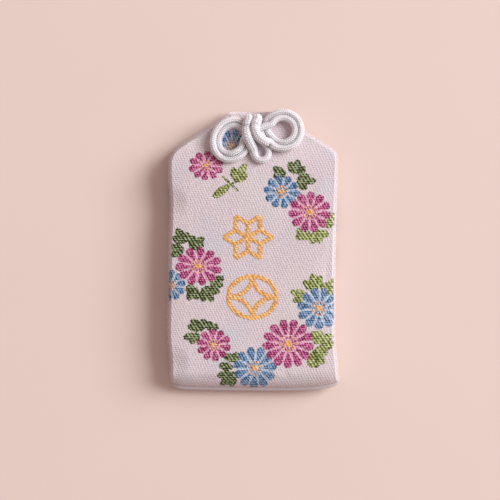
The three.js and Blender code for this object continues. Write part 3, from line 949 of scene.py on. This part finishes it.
# x, y, half width, half height, petals and the first petal's angle
pinkFlowers = [
    (-12.4, 22.5, 4.5, 3.85, 10, 14), (14.9, 10.25, 5.65, 5.35, 11, 22), (-14.4, -4.0, 6.1, 5.05, 11, 19),
    (9.2, -24.4, 6.75, 6.45, 13, -8), (-10.4, -24.7, 4.5, 4.25, 10, -12),
]
blueFlowers = [
    (-5.7, 27.8, 4.25, 4.25, 10, 0), (7.5, 15.6, 4.75, 4.35, 10, -8), (-21.9, -9.0, 4.1, 4.1, 10, 10),
    (17.4, -15.1, 5.85, 5.55, 11, 7), (0.4, -30.8, 5.7, 5.55, 11, 5),
]
# x, y of the stalk, then the angle and length of each lobe
darkLeaves = [
    (8.5, 20.1, [(150, 3.8), (185, 3.3)]), (11.0, 20.5, [(120, 3.4), (77, 3.6), (27, 3.1)]),
    (11.5, 18.5, [(25, 3.5), (0, 4.9), (319, 3.3)]), (-18.0, 2.3, [(120, 4.2), (73, 2.7), (158, 3.5)]),
    (-18.4, 0.3, [(159, 3.4), (204, 3.6)]), (-16.4, 0.8, [(79, 3.3), (40, 4.4), (16, 3.5)]),
    (-15.6, -9.4, [(246, 3.8), (204, 2.4), (284, 3.4)]), (-12.9, -9.5, [(266, 3.9), (301, 4.4), (341, 4.2)]),
    (-11.3, -8.6, [(27, 4.0), (357, 3.4)]), (-13.4, -20.7, [(138, 4.0), (84, 2.9), (166, 4.0)]),
    (-14.2, -22.0, [(191, 4.2), (221, 3.3)]), (-11.4, -20.8, [(101, 2.5), (32, 2.5)]),
    (-4.2, -28.9, [(157, 4.1), (105, 2.3)]), (-5.3, -30.7, [(169, 3.8)]),
    (-4.8, -32.3, [(185, 4.7), (218, 4.9), (251, 3.7)]),
]
limeLeaves = [
    (-4.5, 18.4, [(103, 3.6), (62, 5.1), (35, 3.5)]), (-6.4, 17.3, [(217, 5.1)]),
    (14.5, 5.2, [(211, 3.7), (247, 2.6), (178, 3.1)]), (16.5, 5.1, [(249, 3.4), (292, 3.2), (343, 3.4)]),
    (19.5, 7.9, [(42, 3.0), (344, 2.2), (282, 1.9)]), (14.3, -11.6, [(167, 4.5), (203, 4.1)]),
    (16.0, -10.3, [(137, 3.7), (93, 4.5), (63, 4.2)]), (18.9, -11.3, [(96, 3.1), (57, 4.9), (30, 3.2)]),
    (16.1, -23.6, [(94, 2.5), (54, 3.1)]), (15.9, -24.2, [(21, 5.9)]), (15.9, -26.6, [(24, 6.3)]),
    (15.4, -26.9, [(266, 3.7), (290, 4.2), (322, 4.2), (0, 4.2)]),
]
stems = [((-8.1, 19.7), (-3.9, 15.8)), ((-6.3, 17.4), (-4.3, 18.4))]
goldStar = {"x": -1.4, "y": 3.65, "wide": 6.45, "tall": 6.35, "line": 1.05, "notch": 0.577}
goldRings = {"x": -0.2, "y": -12.1, "wide": 6.3, "tall": 5.45, "line": 1.1}


# points round a middle, at angles and at shares of a half width and a half height
def around(x, y, wide, tall, angle, share=1):
    return np.stack([x + wide * share * np.cos(angle), y + tall * share * np.sin(angle)], axis=-1)


# outline of a band along a path
def band(path, widths):
    path = np.asarray(path, float)
    ahead = np.gradient(path, axis=0)
    ahead /= np.linalg.norm(ahead, axis=1, keepdims=True)
    halves = np.broadcast_to(widths, len(path))[:, None] / 2
    cross = np.stack([-ahead[:, 1], ahead[:, 0]], axis=1) * halves
    return np.vstack([path + cross, (path - cross)[::-1]])


# spokes of a flower between two shares of its radius, blunt at the outer end
def petals(flower, inner, outer, cover):
    x, y, wide, tall, count, first = flower
    t = np.sin(np.linspace(0, math.pi / 2, petalShape["points"]))
    reach = between(inner, outer, t)
    spoon = between(petalShape["root"], 1, ease((t - petalShape["widenFrom"]) / petalShape["widenOver"]))
    end = roundOver((petalShape["tip"] - t) / petalShape["blunt"])
    widths = cover * math.pi / count * (wide + tall) * reach * spoon * end
    outlines = []
    for angle in np.radians(first + 360 / count * np.arange(count)):
        outlines.append(band(around(x, y, wide, tall, angle, reach), widths))
    return outlines


def disc(flower, share):
    x, y, wide, tall, _, _ = flower
    angle = np.linspace(0, 2 * math.pi, pattern["discPoints"], endpoint=False)
    return around(x, y, wide, tall, angle, share)


def arc(x, y, wide, tall, start, end, width):
    angle = np.radians(np.linspace(start, end, pattern["arcPoints"]))
    return band(around(x, y, wide, tall, angle), width)


def dashedRing(flower):
    x, y, wide, tall, _, first = flower
    wide, tall = wide * pattern["ringAt"], tall * pattern["ringAt"]
    dashes = []
    for number in range(pattern["dashes"]):
        start = first + number * 360 / pattern["dashes"]
        dashes.append(arc(x, y, wide, tall, start, start + pattern["dashTurn"], pattern["ringWidth"]))
    return dashes


def leafLobes(leaves):
    t = np.linspace(0, 1, lobeShape["points"])
    halfTurn = math.pi * (lobeShape["from"] + lobeShape["over"] * t) ** lobeShape["skew"]
    widths = pattern["leafWidth"] * np.sin(halfTurn) ** lobeShape["fullness"]
    outlines = []
    for x, y, lobes in leaves:
        for degrees, length in lobes:
            outlines.append(band(around(x, y, length, length, math.radians(degrees), t), widths))
    return outlines


def stroke(start, end, width):
    return band(np.linspace(start, end, pattern["strokePoints"]), width)


# six-pointed hemp leaf star: long lozenges that meet in the middle
def hempStar():
    x, y, wide, tall = (goldStar[key] for key in ("x", "y", "wide", "tall"))
    line = goldStar["line"]
    strokes = []
    for degrees in range(0, 360, 60):
        notch = around(x, y, wide, tall, math.radians(degrees + 30), goldStar["notch"])
        strokes.append(stroke((x, y), notch, line))
        for side in (degrees, degrees + 60):
            strokes.append(stroke(notch, around(x, y, wide, tall, math.radians(side)), line))
    return strokes


# linked rings: a ring crossed by quarters of its four neighbours
def linkedRings():
    x, y, wide, tall = (goldRings[key] for key in ("x", "y", "wide", "tall"))
    line = goldRings["line"]
    strokes = []
    for side in range(0, 360, 90):
        neighbour = around(x, y, wide, tall, math.radians(side + 45), math.sqrt(2))
        strokes.append(arc(x, y, wide, tall, side, side + 90, line))
        strokes.append(arc(*neighbour, wide, tall, side + 180, side + 270, line))
    return strokes


# weft rows across an outline, each from a warp thread to another: start, end, y and rise
def weftRows(outline):
    x, y = outline.T
    nextX, nextY = np.roll(x, -1), np.roll(y, -1)
    rows = []
    for number in range(math.ceil(y.min() / pattern["row"]), math.floor(y.max() / pattern["row"]) + 1):
        level = number * pattern["row"]
        k = np.flatnonzero((y <= level) != (nextY <= level))
        places = np.sort(x[k] + (level - y[k]) * (nextX[k] - x[k]) / (nextY[k] - y[k]))
        brick = 0.5 * (number // 2 % 2)
        rise = pattern["sunk"] if number % 2 else 1
        places = (np.round(places / pattern["warp"] - brick) + brick) * pattern["warp"]
        rows += [(start, end, level, rise) for start, end in zip(places[::2], places[1::2]) if end > start]
    return rows


# rows of all the shapes of one thread, with those that overlap joined
def joinedRows(outlines):
    spans = {}
    for outline in outlines:
        for start, end, level, rise in weftRows(outline):
            spans.setdefault((level, rise), []).append((start, end))
    rows = []
    for (level, rise), places in spans.items():
        joined = []
        for start, end in sorted(places):
            if joined and start < joined[-1][1]:
                joined[-1] = (joined[-1][0], max(end, joined[-1][1]))
            else:
                joined.append((start, end))
        rows += [(start, end, level, rise) for start, end in joined]
    return rows


# points of a float seen from above, and the crest value of each
def floatPoints(start, end, level, rise):
    count = int((end - start) / pattern["step"]) + 3
    across = level + pattern["row"] * np.array(floatSection["across"])
    spots = np.stack(np.meshgrid(np.linspace(start, end, count), across, indexing="ij"), axis=2)
    crest = np.tile(floatSection["crest"], (count, 1)) * rise
    crest[[0, -1]] *= floatSection["endCrest"]
    return spots, crest


# x of the front's left and right folds, where the pattern turns down the sides
def frontFolds(y):
    left, right = frontStretches["leftShoulder"][::-1], frontStretches["bottomRight"]
    fold = pattern["fold"]
    return np.interp(y, left[:, 1], left[:, 0]) + fold, np.interp(y, right[:, 1], right[:, 0]) - fold


castFrom = 0.1  # metres from the pouch to where the pattern's rays start


# the cloth's point under a spot of the pattern, and the way out of the cloth there
def underSpot(cloth, x, y, fromAbove):
    way = Vector((0, 0, -1 if fromAbove else 1))
    left, right = frontFolds(y) if fromAbove else (x, x)
    start = Vector((min(max(x, left), right), y, 0)) * mm - way * castFrom
    hit, normal, _, _ = cloth.ray_cast(start, way)
    beyond = max(left - x, x - right)
    if hit and beyond > 0:
        way = Vector((-1 if x > 0 else 1, 0, 0))
        start = hit - way * castFrom - Vector((0, 0, beyond * mm))
        hit, normal, _, _ = cloth.ray_cast(start, way)
    if hit and normal.dot(way) >= 0:
        normal = -normal
    return hit, normal


# weaves shapes into a panel, looking at it straight from above or from below
def layPattern(name, thread, outlines, panel, fromAbove, stack):
    mesh = panel.data
    cloth = BVHTree.FromPolygons([v.co for v in mesh.vertices], [p.vertices[:] for p in mesh.polygons])
    points, faces, crests = [], [], []
    for row in joinedRows(outlines):
        spots, crest = floatPoints(*row)
        heights = stack * pattern["lift"] * (pattern["low"] + (1 - pattern["low"]) * crest)
        number = np.full(crest.shape, -1)
        for place in np.ndindex(crest.shape):
            hit, outside = underSpot(cloth, *spots[place], fromAbove)
            if hit:
                number[place] = len(points)
                points.append(hit / mm + outside * float(heights[place]))
                crests.append(crest[place])
        for i, j in np.ndindex(crest.shape[0] - 1, crest.shape[1] - 1):
            face = (number[i, j], number[i + 1, j], number[i + 1, j + 1], number[i, j + 1])
            if min(face) >= 0:
                faces.append(tuple(int(k) for k in (face if fromAbove else face[::-1])))
    piece = buildMesh(name, points, faces, threadMaterials[thread])
    # crest values shape each float and also paint shade between the rows in the thread's colour
    crestValues = piece.data.attributes.new("crest", "FLOAT", "POINT")
    crestValues.data.foreach_set("value", np.array(crests, np.float32))
    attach(piece, "pouch")


def weavePattern(panelName, panel, fromAbove, ornaments):
    def spun(flowers):
        return flowers if fromAbove else [(-x, -y, *rest) for x, y, *rest in flowers]

    def spunLeaves(leaves):
        if fromAbove:
            return leaves
        return [(-x, -y, [(angle + 180, length) for angle, length in fan]) for x, y, fan in leaves]

    def lay(part, thread, outlines, stack):
        layPattern(f"{panelName}_{part}", thread, outlines, panel, fromAbove, stack)

    pink, blue = spun(pinkFlowers), spun(blueFlowers)
    for colour, pale, flowers in (("pink", "palePink", pink), ("blue", "paleBlue", blue)):
        beds, spokes = [], []
        for flower in flowers:
            beds.append(disc(flower, pattern["bed"]))
            spokes += petals(flower, pattern["petalFrom"], 1, pattern["petalCover"])
            spokes += petals(flower, pattern["innerFrom"], pattern["innerTo"], pattern["innerCover"])
        lay(f"{colour}_bed", f"{pale}Thread", beds, stacks["bed"] * stacks[colour])
        lay(f"{colour}_petals", f"{colour}Thread", spokes, stacks[colour])
    sprig = [stroke(a, b, pattern["stemWidth"]) for a, b in stems] if fromAbove else []
    lay("dark_leaves", "leafThread", leafLobes(spunLeaves(darkLeaves)), stacks["darkLeaves"])
    lay("lime_leaves", "limeThread", leafLobes(spunLeaves(limeLeaves)) + sprig, stacks["limeLeaves"])
    dashes = [dash for flower in pink + blue for dash in dashedRing(flower)]
    lay("peach_rings", "peachThread", dashes, stacks["rings"])
    eyes = [disc(flower, pattern["eye"]) for flower in pink + blue]
    lay("gold", "goldThread", eyes + ornaments, stacks["gold"])


weavePattern("front", front, True, hempStar() + linkedRings())
weavePattern("back", back, False, [])
print("stage: pattern woven")


# Inside: closed pads of cloth and wadding between an upper and a lower surface
inside = {
    "liningInset": 3, "liningTop": 26, "liningThick": 0.3, "liningFlat": (0.039, 0.059),
    "frontLiningUnder": 0.9, "backLiningLow": 0.9,
    "waddingShare": 0.9, "waddingFrom": (-16, -29), "waddingTo": (16, 21), "waddingUnder": 1.4,
    "waddingLow": 5.2, "thinnest": 0.05, "columns": 40, "rows": 60,
}


def softPad(name, node, loop, upper, lower, material):
    us, vs = np.linspace(0, 1, inside["columns"]), np.linspace(0, 1, inside["rows"])
    x, y = fillLoop(loop, us, vs)
    bottom = lower(x, y)
    top = np.maximum(upper(x, y), bottom + inside["thinnest"])
    points = np.concatenate([np.stack([x, y, z], axis=2).reshape(-1, 3) for z in (top, bottom)])
    count = x.size
    faces = gridFaces(*x.shape)
    faces += [tuple(count + k for k in face[::-1]) for face in faces]
    number = np.arange(count).reshape(x.shape)
    rim = np.concatenate([number[0, :-1], number[:-1, -1], number[-1, :0:-1], number[:0:-1, 0]])
    faces += [(int(b), int(a), int(a) + count, int(b) + count) for a, b in zip(rim, np.roll(rim, -1))]
    pad = buildMesh(name, points, faces, material)
    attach(pad, "pouch")
    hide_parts(node)
    return pad


# height functions for the pads: below the front, or level
def underFront(depth):
    return lambda x, y: frontHeight(x, y) - depth


def flatAt(height):
    return lambda x, y: np.full(x.shape, height)


def makeInside():
    inset = inside["liningInset"]
    liningLoop = backLoop * (1 - inset / pouch["halfWidth"], 1 - inset / pouch["halfHeight"])
    liningLoop[:, 1] = np.minimum(liningLoop[:, 1], inside["liningTop"])
    waddingLoop = np.clip(backLoop * inside["waddingShare"], inside["waddingFrom"], inside["waddingTo"])
    under, low, thick = inside["frontLiningUnder"], inside["backLiningLow"], inside["liningThick"]
    liningCloth = plainMaterials["liningCloth"]
    frontLining = softPad("lining_front", "front_lining", liningLoop, underFront(under),
                          underFront(under + thick), liningCloth)
    backLining = softPad("lining_back", "back_lining", liningLoop, flatAt(low + thick),
                         flatAt(low), liningCloth)
    wadding = softPad("wadding_pad", "wadding", waddingLoop, underFront(inside["waddingUnder"]),
                      flatAt(inside["waddingLow"]), plainMaterials["waddingFluff"])
    print("stage: lining and wadding put in")


makeInside()

# Seam: a whipped stitch that closes the front onto the back
seam = {"pitch": 1.7, "thread": 0.32, "reach": 0.28, "rise": 0.16, "level": 0.2, "points": 10, "sides": 8}


def makeSeam():
    edge = loopPart(frontLoop, "topLeft", "topRight")
    out = loopPart(loopNormals, "topLeft", "topRight")
    length = lineLength(edge)
    turns = length / seam["pitch"]
    shares = np.linspace(0, 1, int(turns * seam["points"]))
    place, away = sampleLine(edge, shares), sampleLine(out, shares)
    swing = np.sin(shares * turns * 2 * math.pi)[:, None]
    lift = seam["rise"] * np.cos(shares * turns * 2 * math.pi)[:, None]
    flat = place + away * swing * seam["reach"]
    path = np.hstack([flat, pouch["seam"] + seam["level"] + lift])
    radii = np.full((len(path), seam["sides"]), seam["thread"] / 2)
    stitches = tube("seam_stitches", sweep(path, radii), plainMaterials["sewingThread"])
    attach(stitches, "pouch")
    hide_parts("seam_thread")
    print("stage: seam stitched")


makeSeam()

# Floor and light
stage = {
    "floorDark": (231, 207, 198), "floorLight": (232, 208, 199), "grainScale": 30, "roughness": 0.9,
    "floorHalf": 1500, "floorLevel": -0.1,
    "key": 93, "keyPlace": (2.07, 0.84, 1.47), "keySize": 1.72, "keyTint": (0.93, 1.0, 1.02),
    "sky": 0.41, "skyTint": (1, 0.83, 0.78, 1),
}


def makeStage():
    material, tree, shader = startMaterial("paperFloor", stage["roughness"])
    stops = [(0.3, stage["floorDark"]), (0.7, stage["floorLight"])]
    plug(tree, ramp(tree, noiseAt(tree, stage["grainScale"]), stops), shader.inputs["Base Color"])
    half, low = stage["floorHalf"], stage["floorLevel"]
    corners = [(-half, -half, low), (half, -half, low), (half, half, low), (-half, half, low)]
    buildMesh("floor", corners, [(0, 1, 2, 3)], material)
    lamp = bpy.data.lights.new("key", "AREA")
    lamp.energy = stage["key"]
    lamp.color = stage["keyTint"]
    lamp.size = stage["keySize"]
    key = bpy.data.objects.new("key", lamp)
    key.location = stage["keyPlace"]
    key.rotation_euler = Vector(stage["keyPlace"]).to_track_quat("Z", "Y").to_euler()
    bpy.context.scene.collection.objects.link(key)
    world = bpy.data.worlds.new("studio")
    world.use_nodes = True
    sky = world.node_tree.nodes["Background"]
    sky.inputs["Color"].default_value = stage["skyTint"]
    sky.inputs["Strength"].default_value = stage["sky"]
    bpy.context.scene.world = world
    bpy.context.scene.view_settings.view_transform = "Standard"
    print("stage: floor and light set")


makeStage()


# CAD pieces that stay, with their finishes
finishes = {
    "stiffener_card": plainMaterials["cardBoard"], "paper_wrapper": plainMaterials["foldedPaper"],
    "wrapper_band": plainMaterials["foldedPaper"], "tail_binding": plainMaterials["sewingThread"],
    "charm_tablet": tabletWood,
}
for node, material in finishes.items():
    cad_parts[node].data.materials.clear()
    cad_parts[node].data.materials.append(material)
